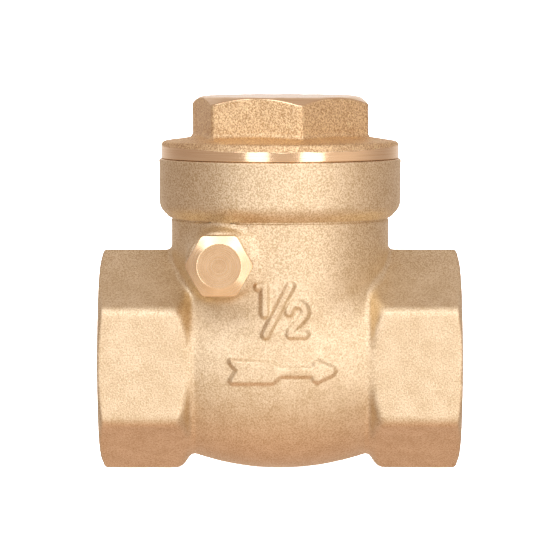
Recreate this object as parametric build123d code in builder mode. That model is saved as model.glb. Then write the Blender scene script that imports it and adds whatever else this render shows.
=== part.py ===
from build123d import *
import os

# A 1/2 inch brass swing check valve with a screwed bonnet.
# Units are millimetres. The origin is the centre of the inlet port's mouth, +X runs along the flow
# and +Z points to the bonnet. The hinge pin plug is on the -Y side.

# ---- Driving dimensions: ports and outer form ------------------------------------------------
face_to_face = 50.0
centre_x = face_to_face / 2             # the bonnet's axis stands here
port_hex_across_flats = 27.0
port_hex_corner_radius = 3.0
port_hex_turned_radius = 16.2           # beyond the corners, where both cones of an end begin
port_hex_inner_x = 12.4                 # from the centre to where the flats end, at their own radius
port_hex_inner_slope = 1.5              # growth of radius along the cone towards the barrel
port_hex_root = 1.0                     # how far each end runs on into the barrel
port_face_radius = 13.1
port_edge_cone = 0.7                    # length of the shallow cone round each port's mouth
thread_bore_radius = 9.32               # crests of the female G 1/2 thread
thread_depth = 11.8

barrel_radius = 15.2
barrel_arc_radius = 37.0                # the barrel's bulge, along X
barrel_half_length = 13.0

neck_radius = 15.1
neck_top_z = 19.4
ring_radius = 16.8
ring_base_z = 21.1
ring_top_z = 27.9
ring_edge = 0.35

# ---- Driving dimensions: inside the body -----------------------------------------------------
chamber_radius = 12.5
bonnet_bore_radius = 13.1               # bonnet thread, made plain
bonnet_thread_depth = 7.2
inlet_passage_radius = 6.5
outlet_passage_radius = 8.4
seat_web_x = -9.6                       # from the centre to the flat web round the seat
seat_web_top_z = 9.9
seat_face_x = -8.8
seat_lip_outer_radius = 7.5

# ---- Driving dimensions: hinge ---------------------------------------------------------------
hinge_x = -8.2                          # from the centre
hinge_z = 14.1
pin_radius = 1.5
pin_running_clearance = 0.08
pin_front_y = -11.4
pin_back_y = 12.0
pin_end_gap = 0.2
lug_radius = 3.3
lug_inner_y = 5.4
lug_root_y = 11.5                       # inside the neck's wall
back_boss_radius = 4.0
back_boss_y = 14.6
plug_boss_radius = 4.8
plug_boss_y = -15.3
plug_thread_radius = 3.0
plug_thread_clearance = 0.05
plug_thread_end_y = -11.6
plug_hex_across_flats = 8.1
plug_head_corner_radius = 4.6
plug_head_face_radius = 3.45
plug_head_chamfer = 0.66
plug_head_height = 3.5
plug_washer_radius = 4.0
plug_washer_thickness = 0.8

# ---- Driving dimensions: bonnet --------------------------------------------------------------
gasket_inner_radius = 13.35
gasket_outer_radius = 15.6
gasket_thickness = 0.7
gasket_gap = 0.02
gasket_side_gap = 0.1
cap_gap = 0.03                          # hairline under the cap's flange
cap_flange_radius = 16.5
cap_flange_top_z = 30.1
cap_flange_edge = 0.3
cap_shoulder_radius = 12.2
cap_shoulder_z = 30.9
cap_spigot_radius = 13.05
cap_spigot_bottom_z = 21.9
cap_hollow_radius = 10.4
cap_hollow_shoulder_z = 28.2
cap_hollow_top_radius = 6.5
cap_hollow_top_z = 32.4
cap_hex_across_flats = 22.0
cap_hex_corner_radius = 1.2
cap_hex_turn = -76.0                    # angle of one corner from +X, seen from above
cap_hex_top_z = 36.6
cap_hex_turned_radius = 13.0
cap_top_face_radius = 10.4
cap_top_cone_height = 1.5               # from the top face down to the turned radius

# ---- Driving dimensions: hanger and disc, along X from the centre ----------------------------
hub_radius = 2.9
hub_half_width = 4.9
crank_rise = 1.6
crank_elbow_z = 12.0
arm_half_width = 2.6
eye_radius = 4.3
eye_front_x = -5.0
eye_thickness = 2.6
eye_back_x = eye_front_x + eye_thickness
stud_radius = 2.0
stud_running_clearance = 0.08
stud_end_x = 1.3
disc_radius = 8.3
disc_front_x = -8.35
disc_back_x = -5.6
disc_shoulder_radius = 3.4
disc_shoulder_x = -5.1
disc_pocket_depth = 1.35
disc_edge = 0.5
seat_disc_radius = 7.75
seat_disc_front_x = -8.75
front_stud_radius = 1.5
front_stud_end_x = -11.6
seat_washer_radius = 4.2
seat_washer_thickness = 0.7
seat_nut_across_flats = 5.5
seat_nut_height = 1.7
hanger_washer_radius = 3.6
hanger_washer_thickness = 0.6
hanger_nut_across_flats = 6.5
hanger_nut_height = 2.2
face_play = 0.1                         # play of the loose disc on its hanger
nut_bore_gap = 0.02                     # between a nut's bore and its stud
nut_corner_turning = 1.1                # corner radius of a nut over its flat radius

bonnet_axis = Axis((centre_x, 0, 0), (0, 0, 1))
hinge_plane = Plane(origin=(centre_x + hinge_x, 0, hinge_z), x_dir=(1, 0, 0), z_dir=(0, -1, 0))


def along_x(x):
    """Plane across the flow, at x from the valve's centre, with its normal along +X."""
    return Plane.YZ.offset(centre_x + x)


def washer(x, thickness, outer_radius, inner_radius):
    """Flat ring across the flow, from x downstream."""
    with BuildSketch(along_x(x)) as outline:
        Circle(outer_radius)
        Circle(inner_radius, mode=Mode.SUBTRACT)
    extrude(outline.sketch, amount=thickness)


def hexagon_nut(x, height, across_flats, bore_radius):
    """Hexagon nut across the flow, from x downstream, with its corners turned round."""
    with BuildSketch(along_x(x)) as outline:
        RegularPolygon(across_flats / 2, 6, major_radius=False, rotation=90)
        Circle(across_flats / 2 * nut_corner_turning, mode=Mode.INTERSECT)
        Circle(bore_radius, mode=Mode.SUBTRACT)
    extrude(outline.sketch, amount=height)


os.makedirs("parts", exist_ok=True)

# ---- Valve body ------------------------------------------------------------------------------
hex_flat_radius = port_hex_across_flats / 2
hex_inner_cone = (port_hex_turned_radius - hex_flat_radius) / port_hex_inner_slope

with BuildPart() as valve_body:
    # Both hexagon ends are cut from one long bar whose corners point up and down.
    with BuildSketch(Plane.YZ) as bar_outline:
        RegularPolygon(hex_flat_radius, 6, major_radius=False, rotation=90)
        fillet(bar_outline.vertices(), port_hex_corner_radius)
    extrude(amount=face_to_face)
    # A turned outline cones the corners at each port's mouth and again at the barrel.
    with BuildSketch(Plane.XZ) as end_outlines:
        for side in (-1, 1):
            root_x = centre_x + side * (port_hex_inner_x - port_hex_root / port_hex_inner_slope)
            with BuildLine():
                Polyline(
                    (centre_x + side * centre_x, 0),
                    (centre_x + side * centre_x, port_face_radius),
                    (centre_x + side * (centre_x - port_edge_cone), port_hex_turned_radius),
                    (centre_x + side * (port_hex_inner_x + hex_inner_cone), port_hex_turned_radius),
                    (root_x, hex_flat_radius - port_hex_root),
                    (root_x, 0),
                    close=True,
                )
            make_face()
    revolve(axis=Axis.X, mode=Mode.INTERSECT)

    # Round barrel along the flow.
    barrel_end_radius = barrel_radius - barrel_arc_radius
    barrel_end_radius += (barrel_arc_radius**2 - barrel_half_length**2) ** 0.5
    with BuildSketch(Plane.XZ) as barrel_outline:
        with BuildLine():
            left_end = (centre_x - barrel_half_length, barrel_end_radius)
            right_end = (centre_x + barrel_half_length, barrel_end_radius)
            ThreePointArc(left_end, (centre_x, barrel_radius), right_end)
            Polyline(right_end, (right_end[0], 0), (left_end[0], 0), left_end)
        make_face()
    revolve(axis=Axis.X)

    # Upright neck with its thicker ring.
    with BuildSketch(Plane.XZ) as neck_outline:
        with BuildLine():
            Polyline(
                (centre_x, 0),
                (centre_x + neck_radius, 0),
                (centre_x + neck_radius, neck_top_z),
                (centre_x + ring_radius, ring_base_z),
                (centre_x + ring_radius, ring_top_z - ring_edge),
                (centre_x + ring_radius - ring_edge, ring_top_z),
                (centre_x, ring_top_z),
                close=True,
            )
        make_face()
    revolve(axis=bonnet_axis)

    # Bosses for the hinge pin plug, in front, and for the pin's blind end, behind.
    with BuildSketch(hinge_plane) as front_boss:
        Circle(plug_boss_radius)
    extrude(amount=-plug_boss_y)
    with BuildSketch(hinge_plane) as back_boss:
        Circle(back_boss_radius)
    extrude(amount=-back_boss_y)

    # Chamber: full and round above the seat, flat against the seat web below.
    with BuildSketch(Plane.XY.offset(seat_web_top_z)) as upper_chamber:
        with Locations((centre_x, 0)):
            Circle(chamber_radius)
    extrude(amount=ring_top_z - seat_web_top_z, mode=Mode.SUBTRACT)
    with BuildSketch(Plane.XY) as lower_chamber:
        with Locations((centre_x, 0)):
            Circle(chamber_radius)
            with Locations((seat_web_x - chamber_radius, 0)):
                Rectangle(2 * chamber_radius, 4 * chamber_radius, mode=Mode.SUBTRACT)
    extrude(amount=seat_web_top_z, mode=Mode.SUBTRACT)
    with BuildSketch(Plane.XZ) as bowl_outline:
        with BuildLine():
            web_radius = (chamber_radius**2 - seat_web_x**2) ** 0.5
            web_point = (centre_x + seat_web_x, web_radius)
            far_point = (centre_x + chamber_radius, 0)
            middle_point = (centre_x, chamber_radius)
            ThreePointArc(web_point, middle_point, far_point)
            Polyline(far_point, (centre_x + seat_web_x, 0), web_point)
        make_face()
    revolve(axis=Axis.X, mode=Mode.SUBTRACT)

    # Lugs that carry the pin on both sides of the hanger's hub.
    for side in (-1, 1):
        with BuildSketch(Plane.XZ.offset(side * lug_inner_y)) as lug:
            with Locations((centre_x + hinge_x, hinge_z)):
                Circle(lug_radius)
        extrude(amount=side * (lug_root_y - lug_inner_y))

    # Seat lip, then the passages and the thread bores.
    with BuildSketch(along_x(seat_web_x)) as lip:
        Circle(seat_lip_outer_radius)
    extrude(amount=seat_face_x - seat_web_x)
    with BuildSketch(along_x(seat_face_x)) as inlet_passage:
        Circle(inlet_passage_radius)
    extrude(amount=-(centre_x + seat_face_x), mode=Mode.SUBTRACT)
    with BuildSketch(along_x(0)) as outlet_passage:
        Circle(outlet_passage_radius)
    extrude(amount=centre_x, mode=Mode.SUBTRACT)
    for port_x, inward in ((0, 1), (face_to_face, -1)):
        with BuildSketch(Plane.YZ.offset(port_x)) as thread_bore:
            Circle(thread_bore_radius)
        extrude(amount=inward * thread_depth, mode=Mode.SUBTRACT)

    # Bonnet thread and the gasket's recess.
    with BuildSketch(Plane.XY.offset(ring_top_z)) as bonnet_bore:
        with Locations((centre_x, 0)):
            Circle(bonnet_bore_radius)
    extrude(amount=-bonnet_thread_depth, mode=Mode.SUBTRACT)
    with BuildSketch(Plane.XY.offset(ring_top_z)) as gasket_recess:
        with Locations((centre_x, 0)):
            Circle(gasket_outer_radius + gasket_side_gap)
    extrude(amount=-gasket_thickness, mode=Mode.SUBTRACT)

    # Hinge pin bore, and the plug's thread in front.
    with BuildSketch(Plane.XZ.offset(-pin_back_y - pin_end_gap)) as pin_bore:
        with Locations((centre_x + hinge_x, hinge_z)):
            Circle(pin_radius + pin_running_clearance / 2)
    extrude(amount=pin_back_y + pin_end_gap - plug_boss_y, mode=Mode.SUBTRACT)
    with BuildSketch(Plane.XZ.offset(-plug_boss_y)) as plug_bore:
        with Locations((centre_x + hinge_x, hinge_z)):
            Circle(plug_thread_radius + plug_thread_clearance)
    extrude(amount=plug_boss_y - plug_thread_end_y, mode=Mode.SUBTRACT)
valve_body.part.label = "valve_body"
export_step(valve_body.part, "parts/valve_body.step")

# ---- Bonnet cap and its gasket ---------------------------------------------------------------
cap_seat_z = ring_top_z + cap_gap

with BuildPart() as bonnet_cap:
    # Hexagon with rounded corners and a coned top.
    with BuildSketch(Plane.XY.offset(cap_shoulder_z)) as cap_hexagon:
        with Locations((centre_x, 0)):
            RegularPolygon(cap_hex_across_flats / 2, 6, major_radius=False, rotation=cap_hex_turn)
        fillet(cap_hexagon.vertices(), cap_hex_corner_radius)
    extrude(amount=cap_hex_top_z - cap_shoulder_z)
    with BuildSketch(Plane.XZ) as cap_cone:
        with BuildLine():
            Polyline(
                (centre_x, cap_shoulder_z),
                (centre_x + cap_hex_turned_radius, cap_shoulder_z),
                (centre_x + cap_hex_turned_radius, cap_hex_top_z - cap_top_cone_height),
                (centre_x + cap_top_face_radius, cap_hex_top_z),
                (centre_x, cap_hex_top_z),
                close=True,
            )
        make_face()
    revolve(axis=bonnet_axis, mode=Mode.INTERSECT)
    # Turned flange, its conical shoulder and the threaded spigot, in one outline.
    with BuildSketch(Plane.XZ) as cap_outline:
        with BuildLine():
            Polyline(
                (centre_x, cap_spigot_bottom_z),
                (centre_x + cap_spigot_radius, cap_spigot_bottom_z),
                (centre_x + cap_spigot_radius, cap_seat_z),
                (centre_x + cap_flange_radius, cap_seat_z),
                (centre_x + cap_flange_radius, cap_flange_top_z - cap_flange_edge),
                (centre_x + cap_flange_radius - cap_flange_edge, cap_flange_top_z),
                (centre_x + cap_shoulder_radius, cap_shoulder_z),
                (centre_x, cap_shoulder_z),
                close=True,
            )
        make_face()
    revolve(axis=bonnet_axis)
    # Hollow inside, which leaves room for the hanger's swing.
    with BuildSketch(Plane.XZ) as cap_hollow:
        with BuildLine():
            Polyline(
                (centre_x, cap_spigot_bottom_z),
                (centre_x + cap_hollow_radius, cap_spigot_bottom_z),
                (centre_x + cap_hollow_radius, cap_hollow_shoulder_z),
                (centre_x + cap_hollow_top_radius, cap_hollow_top_z),
                (centre_x, cap_hollow_top_z),
                close=True,
            )
        make_face()
    revolve(axis=bonnet_axis, mode=Mode.SUBTRACT)
bonnet_cap.part.label = "bonnet_cap"
export_step(bonnet_cap.part, "parts/bonnet_cap.step")

with BuildPart() as bonnet_gasket:
    with BuildSketch(Plane.XY.offset(ring_top_z - gasket_thickness + gasket_gap)) as gasket_outline:
        with Locations((centre_x, 0)):
            Circle(gasket_outer_radius)
            Circle(gasket_inner_radius, mode=Mode.SUBTRACT)
    extrude(amount=gasket_thickness - gasket_gap)
bonnet_gasket.part.label = "bonnet_gasket"
export_step(bonnet_gasket.part, "parts/bonnet_gasket.step")

# ---- Hinge pin, its plug and the plug's washer -----------------------------------------------
plug_seat_y = plug_boss_y - plug_washer_thickness
plug_face_y = plug_seat_y - plug_head_height

with BuildPart() as hinge_pin:
    with BuildSketch(hinge_plane.offset(-pin_back_y)):
        Circle(pin_radius)
    extrude(amount=pin_back_y - pin_front_y)
    chamfer(hinge_pin.faces().sort_by(Axis.Y)[0].edges(), pin_end_gap)
    chamfer(hinge_pin.faces().sort_by(Axis.Y)[-1].edges(), pin_end_gap)
hinge_pin.part.label = "hinge_pin"
export_step(hinge_pin.part, "parts/hinge_pin.step")

with BuildPart() as hinge_pin_plug:
    with BuildSketch(hinge_plane.offset(-plug_seat_y)):
        RegularPolygon(plug_hex_across_flats / 2, 6, major_radius=False, rotation=0)
    extrude(amount=plug_head_height)
    plug_x = centre_x + hinge_x
    with BuildSketch(Plane.XY.offset(hinge_z)) as plug_head_outline:
        with BuildLine():
            Polyline(
                (plug_x, plug_seat_y),
                (plug_x + plug_head_corner_radius, plug_seat_y),
                (plug_x + plug_head_corner_radius, plug_face_y + plug_head_chamfer),
                (plug_x + plug_head_face_radius, plug_face_y),
                (plug_x, plug_face_y),
                close=True,
            )
        make_face()
    revolve(axis=Axis((plug_x, 0, hinge_z), (0, 1, 0)), mode=Mode.INTERSECT)
    with BuildSketch(hinge_plane.offset(-pin_front_y + pin_end_gap)):
        Circle(plug_thread_radius)
    extrude(amount=-plug_seat_y + pin_front_y - pin_end_gap)
hinge_pin_plug.part.label = "hinge_pin_plug"
export_step(hinge_pin_plug.part, "parts/hinge_pin_plug.step")

with BuildPart() as plug_seal_washer:
    with BuildSketch(hinge_plane.offset(-plug_boss_y)):
        Circle(plug_washer_radius)
        Circle(plug_thread_radius + plug_thread_clearance, mode=Mode.SUBTRACT)
    extrude(amount=plug_washer_thickness)
plug_seal_washer.part.label = "plug_seal_washer"
export_step(plug_seal_washer.part, "parts/plug_seal_washer.step")

# ---- Hanger: hub on the pin, arm, and the eye for the disc's stud ------------------------------
with BuildPart() as disc_hanger:
    with BuildSketch(hinge_plane.offset(-hub_half_width)):
        Circle(hub_radius)
    extrude(amount=2 * hub_half_width)
    # Cranked upper arm, seen from the side, from the hub to the lower arm.
    with BuildSketch(Plane.XZ) as crank_outline:
        with BuildLine():
            Polyline(
                (centre_x + hinge_x, hinge_z + hub_radius),
                (centre_x + eye_front_x, hinge_z + crank_rise),
                (centre_x + eye_back_x, crank_elbow_z),
                (centre_x + eye_back_x, eye_radius),
                (centre_x + eye_front_x, eye_radius),
                (centre_x + eye_front_x, crank_elbow_z - crank_rise),
                (centre_x + hinge_x, hinge_z - hub_radius),
                close=True,
            )
        make_face()
    extrude(amount=arm_half_width, both=True)
    # Lower arm, seen along the flow, widening to the round eye.
    with BuildSketch(along_x(eye_front_x)) as arm_outline:
        with BuildLine():
            Polyline(
                (-arm_half_width, crank_elbow_z - crank_rise),
                (-eye_radius, 0),
                (eye_radius, 0),
                (arm_half_width, crank_elbow_z - crank_rise),
                close=True,
            )
        make_face()
        Circle(eye_radius)
    extrude(amount=eye_thickness)
    # The pin's bore and the eye's bore.
    with BuildSketch(hinge_plane.offset(-hub_half_width)):
        Circle(pin_radius + pin_running_clearance)
    extrude(amount=2 * hub_half_width, mode=Mode.SUBTRACT)
    with BuildSketch(along_x(eye_front_x)):
        Circle(stud_radius + stud_running_clearance)
    extrude(amount=eye_thickness, mode=Mode.SUBTRACT)
disc_hanger.part.label = "disc_hanger"
export_step(disc_hanger.part, "parts/disc_hanger.step")

# ---- Disc holder with both studs, turned in one piece about the flow axis ----------------------
with BuildPart() as disc_holder:
    with BuildSketch(Plane.XZ) as holder_outline:
        with BuildLine():
            Polyline(
                (centre_x + front_stud_end_x, 0),
                (centre_x + front_stud_end_x, front_stud_radius),
                (centre_x + disc_front_x + disc_pocket_depth, front_stud_radius),
                (centre_x + disc_front_x + disc_pocket_depth, seat_disc_radius + face_play / 2),
                (centre_x + disc_front_x, seat_disc_radius + face_play / 2),
                (centre_x + disc_front_x, disc_radius),
                (centre_x + disc_back_x - disc_edge, disc_radius),
                (centre_x + disc_back_x, disc_radius - disc_edge),
                (centre_x + disc_back_x, disc_shoulder_radius),
                (centre_x + disc_shoulder_x, disc_shoulder_radius),
                (centre_x + disc_shoulder_x, stud_radius),
                (centre_x + stud_end_x, stud_radius),
                (centre_x + stud_end_x, 0),
                close=True,
            )
        make_face()
    revolve(axis=Axis.X)
disc_holder.part.label = "disc_holder"
export_step(disc_holder.part, "parts/disc_holder.step")

seat_disc_back_x = disc_front_x + disc_pocket_depth
with BuildPart() as seat_disc:
    washer(
        seat_disc_front_x,
        seat_disc_back_x - seat_disc_front_x,
        seat_disc_radius,
        front_stud_radius + nut_bore_gap,
    )
seat_disc.part.label = "seat_disc"
export_step(seat_disc.part, "parts/seat_disc.step")

seat_washer_x = seat_disc_front_x - seat_washer_thickness
with BuildPart() as seat_disc_washer:
    washer(
        seat_washer_x,
        seat_washer_thickness,
        seat_washer_radius,
        front_stud_radius + nut_bore_gap,
    )
seat_disc_washer.part.label = "seat_disc_washer"
export_step(seat_disc_washer.part, "parts/seat_disc_washer.step")

with BuildPart() as seat_disc_nut:
    hexagon_nut(
        seat_washer_x - seat_nut_height,
        seat_nut_height,
        seat_nut_across_flats,
        front_stud_radius + nut_bore_gap,
    )
seat_disc_nut.part.label = "seat_disc_nut"
export_step(seat_disc_nut.part, "parts/seat_disc_nut.step")

# ---- Washer and nut that keep the disc on its hanger -------------------------------------------
hanger_washer_x = eye_back_x + face_play
with BuildPart() as hanger_washer:
    washer(
        hanger_washer_x,
        hanger_washer_thickness,
        hanger_washer_radius,
        stud_radius + nut_bore_gap,
    )
hanger_washer.part.label = "hanger_washer"
export_step(hanger_washer.part, "parts/hanger_washer.step")

with BuildPart() as hanger_nut:
    hexagon_nut(
        hanger_washer_x + hanger_washer_thickness,
        hanger_nut_height,
        hanger_nut_across_flats,
        stud_radius + nut_bore_gap,
    )
hanger_nut.part.label = "hanger_nut"
export_step(hanger_nut.part, "parts/hanger_nut.step")
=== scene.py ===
import math

import bpy
import numpy as np
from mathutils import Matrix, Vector


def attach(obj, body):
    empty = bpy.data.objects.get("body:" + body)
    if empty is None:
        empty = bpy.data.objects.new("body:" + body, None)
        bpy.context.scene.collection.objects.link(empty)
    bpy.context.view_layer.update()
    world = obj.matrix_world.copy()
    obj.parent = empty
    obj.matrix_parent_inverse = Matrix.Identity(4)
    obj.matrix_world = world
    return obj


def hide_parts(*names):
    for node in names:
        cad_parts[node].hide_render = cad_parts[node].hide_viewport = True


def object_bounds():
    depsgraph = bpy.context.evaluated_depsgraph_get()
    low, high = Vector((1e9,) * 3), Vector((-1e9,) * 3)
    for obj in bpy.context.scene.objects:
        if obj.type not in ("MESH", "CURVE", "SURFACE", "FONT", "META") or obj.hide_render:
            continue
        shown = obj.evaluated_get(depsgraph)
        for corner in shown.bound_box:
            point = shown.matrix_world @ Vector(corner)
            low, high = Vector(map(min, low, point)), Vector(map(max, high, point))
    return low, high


# A 1/2 inch brass swing check valve.
# Shapes are written as distance functions in millimetres from the valve's centre, where the flow
# axis crosses the bonnet's axis, and are turned into meshes in metres in the frame of the CAD.

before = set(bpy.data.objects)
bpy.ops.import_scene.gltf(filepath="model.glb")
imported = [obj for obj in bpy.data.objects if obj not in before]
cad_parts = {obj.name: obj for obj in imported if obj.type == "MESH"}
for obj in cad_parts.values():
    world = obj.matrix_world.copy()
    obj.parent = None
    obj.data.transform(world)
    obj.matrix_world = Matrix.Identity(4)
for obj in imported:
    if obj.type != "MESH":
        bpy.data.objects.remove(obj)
cad_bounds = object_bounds()

MM = 0.001
ROOT_3 = math.sqrt(3.0)
CENTRE_X = 25.0                 # the valve's centre lies this far along X from the inlet's mouth

# ---- Sizes in millimetres from the valve's centre ------------------------------------------------
# A name that ends in FLAT is half of a hexagon's width across its flats. One that ends in EDGE is
# a cone's radius at the end it is named for, and one that ends in SLOPE is how much a cone narrows
# for each millimetre along it.

# Ports
HALF_LENGTH = 25.0
PORT_FLAT = 13.5
PORT_INNER_END = 11.0
PORT_MOUTH_EDGE = 13.1
PORT_MOUTH_SLOPE = 4.4286
PORT_ROOT_EDGE = -5.1           # measured at the valve's centre; the cone's tip lies further out
PORT_ROOT_SLOPE = -1.5
PORT_CREST = 9.32
PORT_THREAD_HEIGHT = 1.1
PORT_CHAMFER = 1.25             # how much wider than the crests a port's mouth is
PORT_PITCH = 1.814
THREAD_DEPTH = 11.8
THREAD_START = 2.0              # length over which the port's thread grows to its full height

# Barrel, neck and ring
BARREL_RADIUS = 15.2
BARREL_ARC = 37.0               # radius of the barrel's swelling along the flow
BARREL_HALF_LENGTH = 14.0
NECK_RADIUS = 15.1
NECK_TOP = 19.4
RING_RADIUS = 16.8
RING_TOP = 27.9
TOOL_MARK_RADIUS = 0.16         # narrow groove turned where the neck meets the ring
MARK_RELIEF = 0.42              # height of the raised marks on the barrel

# Chamber, seat and passages
CHAMBER_RADIUS = 12.5
WEB_X = -9.6                    # the seat's wall fills the chamber before WEB_X and below WEB_TOP
WEB_TOP = 9.9
LIP_RADIUS = 7.5                # the seat's raised lip
LIP_X = -8.8
INLET_RADIUS = 6.5
INLET_END_X = -8.0
OUTLET_RADIUS = 8.4

# Hinge pin's line, bore and bosses
HINGE_X = -8.2
HINGE_Z = 14.1
PIN_BORE_RADIUS = 1.54
PIN_BORE_FRONT_Y = -14.0
PIN_BORE_BACK_Y = 12.2
LUG_RADIUS = 3.3                # lugs in the chamber that carry the pin's ends
LUG_INNER_Y = 5.4
FRONT_BOSS_RADIUS = 4.7
FRONT_BOSS_OUT = 15.35
BACK_BOSS_RADIUS = 4.0
BACK_BOSS_OUT = 14.6

# Thread and recess under the bonnet
BONNET_PITCH = 1.5
BONNET_CREST = 12.78
BONNET_ROOT = 13.5
BONNET_MOUTH = 13.9
BONNET_THREAD_END = 20.7
RECESS_RADIUS = 15.7            # recess for the gasket
RECESS_FLOOR = 27.2

# Bonnet cap
CAP_SEAT = 27.93
CAP_FLANGE_RADIUS = 16.5
CAP_RIM_TOP = 29.2              # top of the turned rim in front
CAP_RIM_RISE = 0.6              # how much higher that top is at the sides
CAP_RIM_SLOPE = 0.5
CAP_SHOULDER = 30.9
CAP_SHOULDER_EDGE = 12.2
CAP_SHOULDER_SLOPE = 6.25
CAP_HEAD_BOTTOM = 29.0
CAP_HEAD_REACH = 13.5           # radius within which the hexagon's root fillet is kept
CAP_FLAT = 11.17
CAP_TURN = 13.0                 # degrees that the cap's hexagon is turned about the bonnet's axis
CAP_CHAMFER_RADIUS = 10.9
CAP_TOP = 36.6
CAP_HOLLOW_RADIUS = 10.4
CAP_HOLLOW_BEND = 28.2
CAP_HOLLOW_SLOPE = 0.68
CAP_HOLLOW_TOP = 32.4
SPIGOT_INNER = 12.6             # radii between which the cap's outside thread runs
SPIGOT_OUTER = 13.3
SPIGOT_END = 21.9
SPIGOT_END_EDGE = 12.5
SPIGOT_TOP = 28.5

# Hinge pin plug and its bore
PLUG_SEAT_Y = -16.1
PLUG_FACE_Y = -19.6
PLUG_FLAT = 4.1
PLUG_ROUND = 4.6                # radius to which the hexagon's corners are turned down
PLUG_FACE_RADIUS = 3.0
PLUG_BEVEL_SLOPE = 2.381
PLUG_TIP_Y = -11.6
PLUG_TIP_EDGE = 2.45
PLUG_MOUTH_Y = -15.3
PLUG_MOUTH_EDGE = 3.35
PLUG_MOUTH_LIMIT = 3.6
PLUG_PITCH = 1.0
PLUG_INNER = 2.38               # radii between which the plug's outside thread runs
PLUG_OUTER = 2.93
PLUG_BORE_INNER = 2.55
PLUG_BORE_OUTER = 3.05

# Hanger
ARM_BACK_X = -2.42              # the hanger's face on the outlet's side
EYE_X = -4.98                   # the hanger's face on the disc's side, at the eye
EYE_RADIUS = 4.28
EYE_BORE = 2.1
HUB_RADIUS = 2.88
HUB_HALF_LENGTH = 4.88
HUB_BORE = 1.6
ARM_TOP = 10.4                  # height at which the arm bends towards the hub
ARM_HALF_WIDTH = 2.58
ELBOW_X = -5.0
ELBOW_RISE = 1.6                # height of the arm's elbow above the hinge line

# Disc holder
DISC_RADIUS = 8.28
DISC_FRONT_X = -8.33
DISC_BACK_X = -5.62
DISC_SHOULDER_RADIUS = 3.38
DISC_SHOULDER_X = -5.12
POCKET_RADIUS = 7.8             # the cup that holds the rubber disc
POCKET_X = -7.0
STUD_ROOT_X = -6.0              # both studs start here, inside the disc
STUD_END_X = 1.28
STUD_THREAD_X = -2.0            # the stud is threaded from here to its end
STUD_PITCH = 0.7
STUD_INNER = 1.62
STUD_RADIUS = 1.98
STUD_TIP_EDGE = 1.6
FRONT_STUD_END_X = -11.58
FRONT_STUD_THREAD_X = -9.4
FRONT_STUD_PITCH = 0.5
FRONT_STUD_INNER = 1.25
FRONT_STUD_RADIUS = 1.49
FRONT_STUD_TIP_EDGE = 1.15


# ---- Distance functions ------------------------------------------------------------------------
THREAD_FLANK = 0.8              # brings the distance to a thread's steep flanks back to about true


def soft_max(a, b, width):
    """Largest of two distances, with the corner between them rounded over a width."""
    overlap = np.maximum(width - np.abs(a - b), 0.0)
    return np.maximum(a, b) + overlap * overlap / (4.0 * width)


def soft_min(a, b, width):
    """Smallest of two distances, with a fillet of a width where they meet."""
    return -soft_max(-a, -b, width)


def length(*parts):
    """Length of a vector from its parts."""
    return np.sqrt(sum(part * part for part in parts))


def smooth_step(low, high, value):
    """Rises from 0 at low to 1 at high, level at both."""
    t = np.clip((value - low) / (high - low), 0.0, 1.0)
    return t * t * (3.0 - 2.0 * t)


def hexagon(u, v, flat, corner):
    """Hexagon whose flats face along u and whose corners, rounded over a width, point along v."""
    half_u = 0.5 * u
    slant_v = 0.5 * ROOT_3 * v
    slants = soft_max(np.abs(half_u + slant_v), np.abs(half_u - slant_v), corner)
    return soft_max(np.abs(u), slants, corner) - flat


def between(value, low, high):
    """Distance to the slab between two planes."""
    return np.maximum(low - value, value - high)


def cone(radius, along, edge, slope):
    """Distance to a cone of an edge radius where along is 0, which narrows by slope as along grows."""
    return (radius - edge + slope * along) / math.hypot(1.0, slope)


def screw_radius(axial, angle, pitch, inner, outer):
    """Radius of a right-hand thread between two radii, with rounded tips and roots."""
    phase = axial / pitch - angle / (2.0 * math.pi)
    ramp = np.abs(phase - np.floor(phase) - 0.5) * 2.0
    rounded = ramp - 0.11 * np.sin(2.0 * math.pi * ramp)
    return inner + (outer - inner) * rounded


def waves(x, y, z, size, seed):
    """Slow unevenness of a cast or forged skin, from -1 to 1, made of crossing sine waves."""
    random = np.random.default_rng(seed)
    total = 0.0
    count = 7
    for _ in range(count):
        direction = random.normal(size=3)
        direction *= random.uniform(0.6, 1.5) / np.linalg.norm(direction)
        phase = random.uniform(0, 2 * math.pi)
        along = (direction[0] * x + direction[1] * y + direction[2] * z) * (2 * math.pi / size)
        total = total + np.sin(along + phase)
    return total / count


# ---- Raised marks on the barrel ----------------------------------------------------------------
def stroke(x, z, start, end, half_width):
    """Distance to a straight stroke with round ends."""
    dx = end[0] - start[0]
    dz = end[1] - start[1]
    t = np.clip(((x - start[0]) * dx + (z - start[1]) * dz) / (dx * dx + dz * dz), 0.0, 1.0)
    return length(x - start[0] - t * dx, z - start[1] - t * dz) - half_width


def arc_stroke(x, z, centre, radius, from_angle, to_angle, half_width):
    """Distance to a stroke bent round a centre, anticlockwise between two angles in degrees."""
    middle = math.radians((from_angle + to_angle) / 2)
    half_span = math.radians((to_angle - from_angle) / 2)
    dx = x - centre[0]
    dz = z - centre[1]
    along = dx * math.cos(middle) + dz * math.sin(middle)
    across = np.abs(dz * math.cos(middle) - dx * math.sin(middle))
    angle = np.arctan2(across, along)
    inside = np.abs(length(dx, dz) - radius)
    end_x = radius * math.cos(half_span)
    end_z = radius * math.sin(half_span)
    outside = length(along - end_x, across - end_z)
    return np.where(angle <= half_span, inside, outside) - half_width


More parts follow.
